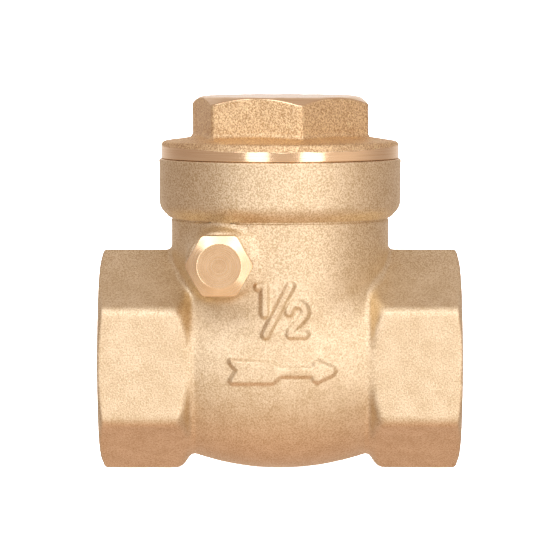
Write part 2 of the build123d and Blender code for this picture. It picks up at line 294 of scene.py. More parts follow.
def polygon(x, z, corners):
    """Distance to a closed outline, negative inside it."""
    nearest = np.inf
    crossings = 0
    for (start_x, start_z), (end_x, end_z) in zip(corners, corners[1:] + corners[:1]):
        nearest = np.minimum(nearest, stroke(x, z, (start_x, start_z), (end_x, end_z), 0.0))
        spans = (z < start_z) != (z < end_z)
        rise = end_z - start_z if abs(end_z - start_z) > 1e-9 else 1e-9
        crossings = crossings + (spans & (x < start_x + (z - start_z) * (end_x - start_x) / rise))
    return np.where(crossings % 2 == 1, -nearest, nearest)


def size_mark(x, z):
    """The nominal size, a 1, a slanted bar and a 2, as plain strokes with a pen's half width."""
    pen = 0.53
    one = np.minimum(
        stroke(x, z, (-2.1, 11.15), (-2.1, 7.35), pen),
        stroke(x, z, (-2.15, 11.2), (-3.0, 11.0), pen - 0.08),
    )
    bar = stroke(x, z, (1.43, 11.15), (-1.98, 4.5), pen)
    hook = arc_stroke(x, z, (2.3, 7.6), 1.1, -28.0, 180.0, pen)
    slope = stroke(x, z, (3.3, 7.1), (1.5, 4.95), pen)
    foot = stroke(x, z, (1.4, 4.55), (3.4, 4.55), pen)
    two = np.minimum(np.minimum(hook, slope), foot)
    return np.minimum(np.minimum(one, bar), two)


def arrow_mark(x, z):
    """Flow arrow with a notched tail, a thinner shaft and a short blunt head."""
    tail_top = [(-6.75, 1.0), (-1.2, 0.78)]
    shaft_top = [(-0.05, 0.02), (4.45, 0.02)]
    head = [(4.8, 0.75), (5.15, 0.92), (7.25, 0.0), (7.45, -0.4), (7.2, -0.9), (5.05, -1.9), (4.6, -1.7)]
    shaft_bottom = [(4.4, -1.08), (0.05, -1.08)]
    tail_bottom = [(-1.0, -2.0), (-6.55, -2.08), (-6.75, -1.75)]
    notch = [(-5.8, -0.4), (-6.75, 0.65)]
    rounding = 0.15
    return polygon(x, z, tail_top + shaft_top + head + shaft_bottom + tail_bottom + notch) - rounding


def raised_marks(x, z):
    """Distance to both marks near them, and simply outside them elsewhere."""
    x, z = np.broadcast_arrays(x, z)
    near = (np.abs(x) < 8.2) & (z > -2.8) & (z < 12.4)
    mark = np.ones(x.shape)
    mark[near] = np.minimum(size_mark(x[near], z[near]), arrow_mark(x[near], z[near]))
    return mark


# ---- Meshes from distance functions --------------------------------------------------------------
CORNERS = [(i, j, k) for i in (0, 1) for j in (0, 1) for k in (0, 1)]
CELL_EDGES = [
    (a, b)
    for a, first in enumerate(CORNERS)
    for b, second in enumerate(CORNERS)
    if a < b and sum(abs(p - q) for p, q in zip(first, second)) == 1
]


def net_faces(field, cell_number):
    """Quads across every grid edge that crosses the surface, wound outwards."""
    inside = field < 0
    faces = []
    for axis in range(3):
        u, v = [other for other in range(3) if other != axis]
        here = [slice(1, -1)] * 3
        here[axis] = slice(0, -1)
        there = list(here)
        there[axis] = slice(1, None)
        start = inside[tuple(here)]
        end = inside[tuple(there)]
        spots = np.argwhere(start != end)
        leaving = start[tuple(spots.T)]
        offset = np.ones(3, dtype=np.int64)
        offset[axis] = 0
        spots = spots + offset
        ring = []
        for du, dv in ((1, 1), (0, 1), (0, 0), (1, 0)):
            cell = spots.copy()
            cell[:, u] -= du
            cell[:, v] -= dv
            ring.append(cell_number[tuple(cell.T)])
        quads = np.stack(ring, axis=1)
        flip = leaving if axis == 1 else ~leaving
        quads[flip] = quads[flip][:, ::-1]
        faces.append(quads)
    return np.concatenate(faces)


def surface_net(shape, low, high, step):
    """Points and quads of a distance function's zero surface, one point in each crossed cell."""
    axes = [np.arange(low[i], high[i] + step, step, dtype=np.float32) for i in range(3)]
    size = tuple(len(axis) for axis in axes)
    field = np.broadcast_to(shape(*np.ix_(*axes)), size).astype(np.float32)
    inside = field < 0
    cells = tuple(count - 1 for count in size)
    some = np.zeros(cells, dtype=bool)
    every = np.ones(cells, dtype=bool)
    for i, j, k in CORNERS:
        corner = inside[i:i + cells[0], j:j + cells[1], k:k + cells[2]]
        some |= corner
        every &= corner
    spots = np.argwhere(some & ~every)
    cell_number = np.full(cells, -1, dtype=np.int64)
    cell_number[tuple(spots.T)] = np.arange(len(spots))
    values = np.stack([field[tuple((spots + corner).T)] for corner in CORNERS], axis=1)
    total = np.zeros((len(spots), 3))
    crossings = np.zeros((len(spots), 1))
    for a, b in CELL_EDGES:
        crossed = (values[:, a] < 0) != (values[:, b] < 0)
        span = np.where(crossed, values[:, a] - values[:, b], 1.0)
        t = (values[:, a] / span)[:, None]
        point = np.array(CORNERS[a]) * (1 - t) + np.array(CORNERS[b]) * t
        total += np.where(crossed[:, None], point, 0.0)
        crossings += crossed[:, None]
    points = (spots + total / crossings) * step + np.array([axis[0] for axis in axes])
    return points, net_faces(field, cell_number)


def slope(shape, points, reach):
    """Gradient of a distance function at points, by central differences."""
    gradient = np.empty_like(points)
    for axis in range(3):
        shift = np.zeros(3)
        shift[axis] = reach
        ahead = shape(*(points + shift).T)
        behind = shape(*(points - shift).T)
        gradient[:, axis] = (ahead - behind) / (2 * reach)
    return gradient


def settle(shape, points, step, rounds):
    """Moves points onto the zero surface, each by no more than half a grid step a round."""
    for _ in range(rounds):
        gradient = slope(shape, points, step * 0.1)
        square = np.maximum((gradient * gradient).sum(axis=1), 0.05)
        move = -gradient * (shape(*points.T) / square)[:, None]
        reach = np.maximum(np.linalg.norm(move, axis=1) / (step * 0.5), 1.0)
        points = points + move / reach[:, None]
    return points


def mesh_object(name, points, faces):
    """A new object in the scene from points and faces."""
    mesh = bpy.data.meshes.new(name)
    mesh.from_pydata(points.tolist(), [], faces.tolist())
    mesh.update()
    piece = bpy.data.objects.new(name, mesh)
    bpy.context.scene.collection.objects.link(piece)
    return piece


def mesh_points(mesh):
    flat = np.empty(len(mesh.vertices) * 3)
    mesh.vertices.foreach_get("co", flat)
    return flat.reshape(-1, 3)


def thin_out(piece, most_triangles):
    """Collapses the mesh to a number of triangles, which keeps its detail where it bends."""
    piece.data.calc_loop_triangles()
    triangles = len(piece.data.loop_triangles)
    if triangles <= most_triangles:
        return
    modifier = piece.modifiers.new("thin", "DECIMATE")
    modifier.ratio = most_triangles / triangles
    graph = bpy.context.evaluated_depsgraph_get()
    thinned = bpy.data.meshes.new_from_object(piece.evaluated_get(graph))
    piece.modifiers.clear()
    piece.data = thinned


def sculpt(name, shape, low, high, step, most_triangles=190000):
    """A closed mesh of a distance function, in metres, shaded by the function's own slope."""
    points, faces = surface_net(shape, low, high, step)
    points = settle(shape, points, step, 2)
    piece = mesh_object(name, points, faces)
    thin_out(piece, most_triangles)
    points = settle(shape, mesh_points(piece.data), step, 1)
    normals = slope(shape, points, step * 0.35)
    normals /= np.maximum(np.linalg.norm(normals, axis=1), 1e-9)[:, None]
    placed = (points + (CENTRE_X, 0.0, 0.0)) * MM
    piece.data.vertices.foreach_set("co", placed.ravel())
    piece.data.polygons.foreach_set("use_smooth", [True] * len(piece.data.polygons))
    piece.data.update()
    piece.data.normals_split_custom_set_from_vertices(normals.tolist())
    return piece


# ---- Valve body ----------------------------------------------------------------------------------
def port_end(x, y, z):
    """Both hexagon ends, with a steep cone at the mouth and a flatter one towards the barrel."""
    side = np.abs(x)
    radius = length(y, z)
    bar = hexagon(y, z, PORT_FLAT, 1.0)
    mouth_cone = cone(radius, side - HALF_LENGTH, PORT_MOUTH_EDGE, PORT_MOUTH_SLOPE)
    root_cone = cone(radius, side, PORT_ROOT_EDGE, PORT_ROOT_SLOPE)
    end = soft_max(bar, mouth_cone, 0.5)
    end = soft_max(end, root_cone, 0.8)
    end = soft_max(end, side - HALF_LENGTH, 0.25)
    return soft_max(end, PORT_INNER_END - side, 0.2)


def neck_and_ring(x, y, z):
    """Upright neck and the thicker ring on top of it, with a fine groove between them."""
    across = length(x, y)
    neck = np.maximum(across - NECK_RADIUS, -z)
    under_ring = cone(across, z - NECK_TOP, NECK_RADIUS, -1.0)
    ring = soft_max(across - RING_RADIUS, under_ring, 0.8)
    ring = soft_max(ring, z - RING_TOP, 0.35)
    skin = np.maximum(soft_min(neck, ring, 0.3), z - RING_TOP)
    tool_mark = length(across - NECK_RADIUS - 0.05, z - NECK_TOP - 0.2) - TOOL_MARK_RADIUS
    return soft_max(skin, -tool_mark, 0.1)


def hinge_boss(x, y, z, radius, out, side):
    """Round boss about the hinge line, to a flat face on one side of the valve."""
    rod = length(x - HINGE_X, z - HINGE_Z) - radius
    return soft_max(rod, np.maximum(y * side - out, -y * side), 1.2)


def body_outside(x, y, z):
    """The casting's skin with its marks and unevenness, before anything is bored out."""
    barrel = length(length(y, z) + BARREL_ARC - BARREL_RADIUS, x) - BARREL_ARC
    barrel = np.maximum(barrel, np.abs(x) - BARREL_HALF_LENGTH)
    # The neck runs into the barrel with a fillet, except in front and behind, where both line up.
    alike = y * y / np.maximum(length(x, y) * length(y, z), 1.0)
    fillet = 0.2 + 1.3 * np.clip((1.0 - alike) * 4.0, 0.0, 1.0)
    skin = soft_min(neck_and_ring(x, y, z), barrel, fillet)
    skin = soft_min(skin, port_end(x, y, z), 0.75)
    skin = soft_min(skin, hinge_boss(x, y, z, FRONT_BOSS_RADIUS, FRONT_BOSS_OUT, -1), 1.9)
    skin = soft_min(skin, hinge_boss(x, y, z, BACK_BOSS_RADIUS, BACK_BOSS_OUT, 1), 1.6)
    # The marks' flanks are half a straight bevel and half a smooth one, from inside to outside.
    mark = raised_marks(x, z)
    inner = -0.28
    outer = 0.32
    bevel = np.clip((outer - mark) / (outer - inner), 0.0, 1.0)
    rise = 0.5 * bevel + 0.5 * (1.0 - smooth_step(inner, outer, mark))
    skin = skin - MARK_RELIEF * rise * (y < 0)
    cast = 0.035 * (1.0 + waves(x, y, z, 7.0, 3)) + 0.02 * (1.0 + waves(x, y, z, 2.6, 4))
    machined_top = smooth_step(RING_TOP - 0.9, RING_TOP - 0.2, z)
    machined_ends = smooth_step(HALF_LENGTH - 0.4, HALF_LENGTH - 0.1, np.abs(x))
    machined = np.maximum(machined_top, machined_ends)
    return skin + cast * (1.0 - machined)


def port_thread(x, y, z):
    """Threaded bore of both ports, with a chamfered mouth."""
    side = np.abs(x)
    radius = length(y, z)
    inner_end = HALF_LENGTH - THREAD_DEPTH
    wall = screw_radius(x, np.arctan2(z, y), PORT_PITCH, PORT_CREST, PORT_CREST + PORT_THREAD_HEIGHT)
    start = smooth_step(inner_end, inner_end + THREAD_START, side)
    wall = PORT_CREST + (wall - PORT_CREST) * start
    bore = (radius - wall) * THREAD_FLANK
    mouth = cone(radius, side - HALF_LENGTH, PORT_CREST + PORT_CHAMFER, -1.0)
    return soft_max(soft_min(bore, mouth, 0.3), inner_end - side, 0.2)


def bonnet_thread(x, y, z):
    """Threaded bore under the cap, with a chamfered mouth and a recess for the gasket."""
    across = length(x, y)
    wall = screw_radius(z, np.arctan2(y, x), BONNET_PITCH, BONNET_CREST, BONNET_ROOT)
    bore = (across - wall) * THREAD_FLANK
    mouth = cone(across, z - RING_TOP, BONNET_MOUTH, -1.0)
    thread = soft_max(np.minimum(bore, mouth), BONNET_THREAD_END - z, 0.2)
    recess = np.maximum(across - RECESS_RADIUS, RECESS_FLOOR - z)
    return np.minimum(thread, recess)


def plug_thread(x, y, z, inner, outer):
    """Radius of the thread about the hinge line, for the plug's bore and for its shank."""
    return screw_radius(-y, np.arctan2(HINGE_X - x, z - HINGE_Z), PLUG_PITCH, inner, outer)


def body_inside(x, y, z):
    """Chamber, passages, seat lip and pin lugs, as the space that is hollow."""
    across = length(x, y)
    radius = length(y, z)
    wall = across - CHAMBER_RADIUS
    upper = soft_max(wall, WEB_TOP - z, 0.6)
    bowl = np.maximum(length(x, y, z) - CHAMBER_RADIUS, z)
    lower = np.minimum(np.maximum(wall, -z), bowl)
    lower = soft_max(lower, WEB_X - x, 0.5)
    hollow = np.maximum(soft_min(upper, lower, 0.5), z - RING_TOP)
    rod = length(x - HINGE_X, z - HINGE_Z)
    lug = np.maximum(rod - LUG_RADIUS, LUG_INNER_Y - np.abs(y))
    hollow = soft_max(hollow, -lug, 0.6)
    lip = np.maximum(radius - LIP_RADIUS, x - LIP_X)
    hollow = soft_max(hollow, -lip, 0.15)
    inlet = np.maximum(radius - INLET_RADIUS, x - INLET_END_X)
    outlet = np.maximum(radius - OUTLET_RADIUS, -x)
    hollow = np.minimum(hollow, inlet)
    hollow = soft_min(hollow, outlet, 0.4)
    pin_bore = np.maximum(rod - PIN_BORE_RADIUS, between(y, PIN_BORE_FRONT_Y, PIN_BORE_BACK_Y))
    plug_wall = plug_thread(x, y, z, PLUG_BORE_INNER, PLUG_BORE_OUTER)
    plug_bore = np.maximum((rod - plug_wall) * THREAD_FLANK, y - PLUG_TIP_Y)
    plug_mouth = cone(rod, y - PLUG_MOUTH_Y, PLUG_MOUTH_EDGE, 1.0)
    plug_bore = np.minimum(plug_bore, np.maximum(plug_mouth, rod - PLUG_MOUTH_LIMIT))
    return np.minimum(hollow, np.minimum(pin_bore, plug_bore))


def valve_body_shape(x, y, z):
    """The whole casting with everything cut in it."""
    hollow = np.minimum(body_inside(x, y, z), port_thread(x, y, z))
    hollow = np.minimum(hollow, bonnet_thread(x, y, z))
    return soft_max(body_outside(x, y, z), -hollow, 0.12)


# ---- Bonnet cap ----------------------------------------------------------------------------------
def turned_about(x, y, degrees):
    """The same place seen in axes turned about Z."""
    turn = math.radians(degrees)
    return x * math.cos(turn) + y * math.sin(turn), y * math.cos(turn) - x * math.sin(turn)


def bonnet_cap_shape(x, y, z):
    """Rough hexagon on a flange with a turned rim, over a hollow threaded spigot."""
    across = length(x, y)
    rough = waves(x, y, z, 5.0, 11) + 0.6 * waves(x, y, z, 2.2, 12)
    along, aside = turned_about(x, y, CAP_TURN)
    head = hexagon(along, aside, CAP_FLAT, 0.45)
    head = soft_max(head, cone(across, z - CAP_TOP, CAP_CHAMFER_RADIUS, ROOT_3), 0.2)
    head = soft_max(head, z - CAP_TOP, 0.3)
    head = np.maximum(head, CAP_HEAD_BOTTOM - z)
    shoulder = cone(across, z - CAP_SHOULDER, CAP_SHOULDER_EDGE, CAP_SHOULDER_SLOPE) + 0.05 * rough
    # The forged skin leans in above the turned rim, whose top is lower in front than at the back.
    rim_top = CAP_RIM_TOP + CAP_RIM_RISE * (1.0 + y / CAP_FLANGE_RADIUS)
    lean = cone(across, z - rim_top, CAP_FLANGE_RADIUS, CAP_RIM_SLOPE)
    shoulder = soft_max(shoulder, lean + 0.05 * rough, 0.25)
    head = soft_min(head + 0.04 + 0.04 * rough, shoulder, 0.7)
    flange = np.maximum(across - CAP_FLANGE_RADIUS, shoulder)
    flange = soft_max(flange, CAP_SEAT - z, 0.15)
    skin = np.maximum(np.minimum(flange, np.maximum(head, across - CAP_HEAD_REACH)), CAP_SEAT - z)
    wall = screw_radius(z, np.arctan2(y, x), BONNET_PITCH, SPIGOT_INNER, SPIGOT_OUTER)
    end_cone = cone(across, z - SPIGOT_END, SPIGOT_END_EDGE, -1.0)
    spigot = soft_max((across - wall) * THREAD_FLANK, end_cone, 0.2)
    spigot = np.maximum(spigot, between(z, SPIGOT_END, SPIGOT_TOP))
    solid = np.minimum(skin, spigot)
    hollow = np.maximum(across - CAP_HOLLOW_RADIUS, z - CAP_HOLLOW_TOP)
    hollow_cone = cone(across, z - CAP_HOLLOW_BEND, CAP_HOLLOW_RADIUS, CAP_HOLLOW_SLOPE)
    hollow = soft_max(hollow, hollow_cone, 0.8)
    return soft_max(solid, -hollow, 0.25)


# ---- Hinge pin plug ------------------------------------------------------------------------------
def hinge_pin_plug_shape(x, y, z):
    """Hexagon head with a wide bevel round a flat face, on a threaded shank."""
    rod = length(x - HINGE_X, z - HINGE_Z)
    head = hexagon(z - HINGE_Z, x - HINGE_X, PLUG_FLAT, 0.1)
    head = soft_max(head, rod - PLUG_ROUND, 0.08)
    bevel = cone(rod, PLUG_FACE_Y - y, PLUG_FACE_RADIUS, PLUG_BEVEL_SLOPE)
    bevel = np.maximum(bevel, PLUG_FACE_Y - y)
    head = soft_max(head, bevel, 0.06)
    head = soft_max(head, y - PLUG_SEAT_Y, 0.12)
    tip = cone(rod, y - PLUG_TIP_Y, PLUG_TIP_EDGE, 1.0)
    wall = plug_thread(x, y, z, PLUG_INNER, PLUG_OUTER)
    shank = soft_max((rod - wall) * THREAD_FLANK, tip, 0.1)
    shank = np.maximum(shank, between(y, PLUG_SEAT_Y - 0.9, PLUG_TIP_Y - 0.02))
    return np.minimum(head, shank)


# ---- Hanger and disc -----------------------------------------------------------------------------
def disc_hanger_shape(x, y, z):
    """Cast arm with a round hub on the pin and a round eye for the disc's stud."""
    rod = length(x - HINGE_X, z - HINGE_Z)
    hub = soft_max(rod - HUB_RADIUS, np.abs(y) - HUB_HALF_LENGTH, 0.5)
    elbow_x = x - ELBOW_X
    elbow_z = z - HINGE_Z - ELBOW_RISE
    crank = soft_max((elbow_z + elbow_x * 0.41) * 0.92, (elbow_z + elbow_x * 1.42) * 0.58, 0.8)
    crank = soft_max(crank, (ARM_TOP - z - elbow_x * 0.25) * 0.97, 0.4)
    crank = soft_max(crank, between(x, HINGE_X, ARM_BACK_X), 0.9)
    eye = length(y, z) - EYE_RADIUS
    web = np.abs(y) - (2.6 + 1.7 * np.clip((ARM_TOP - z) / ARM_TOP, 0.0, 1.0))
    plate = soft_min(eye, np.maximum(web, between(z, 0.0, 12.0)), 0.5)
    plate = soft_max(plate, between(x, EYE_X, ARM_BACK_X), 0.5)
    arm = soft_min(plate, soft_max(crank, np.abs(y) - ARM_HALF_WIDTH, 0.5), 1.0)
    skin = soft_min(arm, hub, 1.2) + 0.03 * (1.0 + waves(x, y, z, 3.0, 21))
    skin = soft_max(skin, HUB_BORE - rod, 0.15)
    return soft_max(skin, EYE_BORE - length(y, z), 0.15)


def disc_holder_shape(x, y, z):
    """Turned disc with a cupped face, a shoulder and a threaded stud on each side."""
    radius = length(y, z)
    disc = soft_max(radius - DISC_RADIUS, between(x, DISC_FRONT_X, DISC_BACK_X), 0.5)
    shoulder = soft_max(radius - DISC_SHOULDER_RADIUS, between(x, -7.5, DISC_SHOULDER_X), 0.2)
    angle = np.arctan2(z, y)
    stud_wall = screw_radius(x, angle, STUD_PITCH, STUD_INNER, STUD_RADIUS)
    stud_wall = np.where(x < STUD_THREAD_X, STUD_RADIUS, stud_wall)
    stud_tip = cone(radius, x - STUD_END_X, STUD_TIP_EDGE, 1.0)
    stud = soft_max(radius - stud_wall, stud_tip, 0.1)
    stud = np.maximum(stud, between(x, STUD_ROOT_X, STUD_END_X))
    front_wall = screw_radius(x, angle, FRONT_STUD_PITCH, FRONT_STUD_INNER, FRONT_STUD_RADIUS)
    front_wall = np.where(x > FRONT_STUD_THREAD_X, FRONT_STUD_RADIUS, front_wall)
    front_tip = cone(radius, FRONT_STUD_END_X - x, FRONT_STUD_TIP_EDGE, 1.0)
    front = soft_max(radius - front_wall, front_tip, 0.1)
    front = np.maximum(front, between(x, FRONT_STUD_END_X, STUD_ROOT_X))
    pocket = np.maximum(radius - POCKET_RADIUS, x - POCKET_X)
    disc = soft_max(disc, -pocket, 0.15)
    return np.minimum(np.minimum(soft_min(disc, shoulder, 0.3), stud), front)


def nut_shape(x, y, z, low, high, flat, bore):
    """Hexagon nut across the flow with both faces coned at its corners."""
    radius = length(y, z)
    nut = hexagon(y, z, flat, 0.1)
    nut = soft_max(nut, radius - flat * 1.1, 0.1)
    for face in (x - high, low - x):
        nut = soft_max(nut, cone(radius, face, flat * 0.97, ROOT_3), 0.08)
        nut = soft_max(nut, face, 0.06)
    return soft_max(nut, -(radius - bore), 0.1)


def hanger_nut_shape(x, y, z):
    """Nut on the stud's outlet end, which keeps the disc on the hanger."""
    return nut_shape(x, y, z, low=-1.69, high=0.49, flat=3.23, bore=2.03)


def seat_disc_nut_shape(x, y, z):
    """Nut on the stud's inlet end, which holds the rubber disc."""
    return nut_shape(x, y, z, low=-11.14, high=-9.46, flat=2.73, bore=1.53)


# ---- Materials -----------------------------------------------------------------------------------
class Nodes:
    """A short way to write nodes, for a material or for the world."""

    def __init__(self, holder):
        holder.use_nodes = True
        self.tree = holder.node_tree

    def join(self, output, target):
        self.tree.links.new(output, target)

    def noise(self, per_mm, detail=2.0, rough=0.5, vector=None):
        """Noise with a number of waves a millimetre, or over another vector."""
        node = self.tree.nodes.new("ShaderNodeTexNoise")
        node.inputs["Scale"].default_value = per_mm
        node.inputs["Detail"].default_value = detail
        node.inputs["Roughness"].default_value = rough
        self.join(vector or self.millimetres, node.inputs["Vector"])
        return node.outputs["Fac"]

    def vector_math(self, operation, first, second):
        node = self.tree.nodes.new("ShaderNodeVectorMath")
        node.operation = operation
        self.join(first, node.inputs[0])
        node.inputs[1].default_value = second
        return node.outputs["Value"] if operation == "DOT_PRODUCT" else node.outputs["Vector"]

    def parts(self, vector):
        node = self.tree.nodes.new("ShaderNodeSeparateXYZ")
        self.join(vector, node.inputs[0])
        return list(node.outputs)

    def math(self, operation, first, second):
        node = self.tree.nodes.new("ShaderNodeMath")
        node.operation = operation
        for value, socket in ((first, node.inputs[0]), (second, node.inputs[1])):
            if isinstance(value, (int, float)):
                socket.default_value = value
            else:
                self.join(value, socket)
        return node.outputs[0]

    def add_scaled(self, amount, colour, base):
        """The base colour with an amount of another colour added to it."""
        node = self.tree.nodes.new("ShaderNodeVectorMath")
        node.operation = "MULTIPLY_ADD"
        self.join(amount, node.inputs[0])
        node.inputs[1].default_value = colour
        if isinstance(base, tuple):
            node.inputs[2].default_value = base
        else:
            self.join(base, node.inputs[2])
        return node.outputs["Vector"]

    def spread(self, value, from_low, from_high, to_low, to_high):
        """A value taken from one range to another, and held within it."""
        node = self.tree.nodes.new("ShaderNodeMapRange")
        self.join(value, node.inputs["Value"])
        node.inputs["From Min"].default_value = from_low
        node.inputs["From Max"].default_value = from_high
        node.inputs["To Min"].default_value = to_low
        node.inputs["To Max"].default_value = to_high
        return node.outputs["Result"]

    def ramp(self, value, stops):
        node = self.tree.nodes.new("ShaderNodeValToRGB")
        ramp = node.color_ramp
        while len(ramp.elements) < len(stops):
            ramp.elements.new(0.5)
        for element, (position, colour) in zip(ramp.elements, stops):
            element.position = position
            element.color = (*colour, 1.0)
        self.join(value, node.inputs["Fac"])
        return node.outputs["Color"]

    def mix(self, factor, first, second):
        node = self.tree.nodes.new("ShaderNodeMix")
        node.data_type = "RGBA"
        colours = [socket for socket in node.inputs if socket.type == "RGBA"]
        for value, socket in ((first, colours[0]), (second, colours[1])):
            if isinstance(value, tuple):
                socket.default_value = (*value, 1.0)
            else:
                self.join(value, socket)
        self.join(factor, node.inputs["Factor"])
        return [socket for socket in node.outputs if socket.type == "RGBA"][0]


class Surface(Nodes):
    """Nodes of a material, placed by the piece's own coordinates in millimetres."""

    def __init__(self, name):
        self.material = bpy.data.materials.new(name)
        super().__init__(self.material)
        self.shader = self.tree.nodes["Principled BSDF"]
        place = self.tree.nodes.new("ShaderNodeTexCoord")
        self.millimetres = self.vector_math("MULTIPLY", place.outputs["Object"], (1.0 / MM,) * 3)

    def bump(self, height, depth_mm):
        node = self.tree.nodes.new("ShaderNodeBump")
        node.inputs["Strength"].default_value = 1.0
        node.inputs["Distance"].default_value = depth_mm * MM
        self.join(height, node.inputs["Height"])
        return node.outputs["Normal"]

    def edges(self, low, high):
        """0 on flats and 1 on outward edges, from how sharply the surface bends."""
        node = self.tree.nodes.new("ShaderNodeNewGeometry")
        return self.spread(node.outputs["Pointiness"], low, high, 0.0, 1.0)


def finish_metal(nodes, colour, roughness, normal):
    nodes.shader.inputs["Metallic"].default_value = 1.0
    nodes.join(colour, nodes.shader.inputs["Base Color"])
    nodes.join(roughness, nodes.shader.inputs["Roughness"])
    nodes.join(normal, nodes.shader.inputs["Normal"])
    return nodes.material


def distance_from(nodes, line_point, axis):
    """Distance in millimetres from a line along an axis, the place along it, and one part across it."""
    parts = nodes.parts(nodes.vector_math("SUBTRACT", nodes.millimetres, line_point))
    along = parts.pop("XYZ".index(axis))
    first, second = parts
    first_square = nodes.math("MULTIPLY", first, first)
    square = nodes.math("ADD", first_square, nodes.math("MULTIPLY", second, second))
    return nodes.math("SQRT", square, 0.0), along, first


def turning(nodes, line_point, axis, depth_mm):
    """Fine rings left by a lathe about a line, as a groove pattern and a normal."""
    rings_per_mm = 6.0
    drift_per_mm = 0.12
    radius, along, first = distance_from(nodes, line_point, axis)
    rings = nodes.tree.nodes.new("ShaderNodeCombineXYZ")
    nodes.join(nodes.math("MULTIPLY", radius, rings_per_mm), rings.inputs[0])
    nodes.join(nodes.math("MULTIPLY", along, rings_per_mm), rings.inputs[1])
    nodes.join(nodes.math("MULTIPLY", first, drift_per_mm), rings.inputs[2])
    grooves = nodes.noise(1.0, 3.0, 0.6, rings.outputs[0])
    return grooves, nodes.bump(grooves, depth_mm)


def weighted(nodes, first, second, share):
    """Two values added, the first by its share and the second by the rest."""
    rest = nodes.math("MULTIPLY", second, 1.0 - share)
    return nodes.math("ADD", nodes.math("MULTIPLY", first, share), rest)


def blasted(nodes, dull, bright, grain_size, depth_mm, gain):
    """Skin of a casting blasted with shot: fine pits, soft mottling and paler rubbed edges.

    The gain makes the grain stronger in the colour and leaves its relief as it is.
    """
    mottle = nodes.noise(0.4, 3.0, 0.6)
    grain = nodes.noise(1.0 / grain_size, 2.0, 0.55)
    pits = nodes.noise(2.3 / grain_size, 1.0, 0.5)
    relief = weighted(nodes, grain, pits, 0.65)
    strong = nodes.math("ADD", nodes.math("MULTIPLY", nodes.math("SUBTRACT", relief, 0.5), gain), 0.5)
    colour = nodes.ramp(weighted(nodes, mottle, strong, 0.22), [(0.4, dull), (0.6, bright)])
    rubbed = nodes.math("MULTIPLY", nodes.edges(0.52, 0.6), 0.35)
    colour = nodes.mix(rubbed, colour, tuple(min(1.0, part * 1.1) for part in bright))
    roughness = nodes.spread(relief, 0.35, 0.65, 0.56, 0.44)
    return colour, roughness, nodes.bump(relief, depth_mm)


def blasted_metal(name, colours, grain_size, depth_mm, gain):
    """Blasted skin all over."""
    nodes = Surface(name)
    return finish_metal(nodes, *blasted(nodes, *colours, grain_size, depth_mm, gain))


def blasted_and_machined(name, colours, grain_size, depth_mm, gains, masks, axis):
    """Blasted skin with bright turned metal where the mask is 1; gains and masks write nodes."""
    nodes = Surface(name)
    colour, roughness, normal = blasted(nodes, *colours, grain_size, depth_mm, gains(nodes))
    cut = masks(nodes)
    grooves, turned_normal = turning(nodes, VALVE_AXIS, axis, 0.004)
    turned = nodes.ramp(grooves, [(0.35, TURNED_BRASS[0]), (0.65, TURNED_BRASS[1])])
    colour = nodes.mix(cut, colour, turned)
    roughness = nodes.math("ADD", roughness, nodes.math("MULTIPLY", cut, -0.34))
    blend = nodes.mix(cut, normal, turned_normal)
    return finish_metal(nodes, colour, roughness, blend)


def turned_metal(name, colours, roughness, axis, line_point, depth_mm=0.005):
    """Metal turned in a lathe about an axis, with fine rings round it."""
    dark, light = colours
    nodes = Surface(name)
    grooves, normal = turning(nodes, line_point, axis, depth_mm)
    cloud = nodes.noise(0.6, 2.0)
    colour = nodes.ramp(cloud, [(0.3, dark), (0.7, light)])
    rough = nodes.spread(grooves, 0.3, 0.7, roughness * 0.85, roughness * 1.2)
    return finish_metal(nodes, colour, rough, normal)


def soft_material(name, cloud_noise, stops, roughness_range, grain_per_mm, depth_mm):
    """Rubber or plastic: cloudy colour and roughness, and a fine grain."""
    nodes = Surface(name)
    cloud = nodes.noise(*cloud_noise)
    nodes.join(nodes.ramp(cloud, stops), nodes.shader.inputs["Base Color"])
    roughness = nodes.spread(cloud, 0.3, 0.7, *roughness_range)
    nodes.join(roughness, nodes.shader.inputs["Roughness"])
    nodes.join(nodes.bump(nodes.noise(grain_per_mm, 2.0), depth_mm), nodes.shader.inputs["Normal"])
    return nodes.material


def body_cuts(nodes):
    """1 on the body's mouths, ports, bonnet seat and bores, which are cut after blasting."""
    port_radius, along, _ = distance_from(nodes, VALVE_AXIS, "X")
    side = nodes.math("ABSOLUTE", along, 0.0)
    bore = nodes.math("LESS_THAN", port_radius, PORT_CREST + 1.88)
    threaded = nodes.math("GREATER_THAN", side, HALF_LENGTH - THREAD_DEPTH - 0.4)
    mouth = nodes.math("GREATER_THAN", side, HALF_LENGTH - 0.12)
    ports = nodes.math("MAXIMUM", nodes.math("MULTIPLY", bore, threaded), mouth)
    bonnet_radius, height, _ = distance_from(nodes, VALVE_AXIS, "Z")
    thread = nodes.math("LESS_THAN", bonnet_radius, BONNET_MOUTH + 0.5)
    seat = nodes.math("MULTIPLY", thread, nodes.math("GREATER_THAN", height, BONNET_THREAD_END - 0.1))
    seat = nodes.math("MAXIMUM", seat, nodes.math("GREATER_THAN", height, RING_TOP - 0.06))
    return nodes.math("MAXIMUM", ports, seat)


def cap_cuts(nodes):
    """1 on the cap's top, chamfer and rim, and on everything below its flange."""
    radius, height, _ = distance_from(nodes, VALVE_AXIS, "Z")
    rim = nodes.math("GREATER_THAN", radius, CAP_FLANGE_RADIUS - 0.03)
    cut = nodes.math("MAXIMUM", rim, nodes.math("LESS_THAN", height, CAP_SEAT + 0.05))
    sunk = nodes.math("MULTIPLY", nodes.math("SUBTRACT", radius, CAP_CHAMFER_RADIUS), 1.0 / ROOT_3)
    level = nodes.math("ADD", height, nodes.math("MAXIMUM", sunk, 0.0))
    return nodes.math("MAXIMUM", cut, nodes.math("GREATER_THAN", level, CAP_TOP - 0.17))


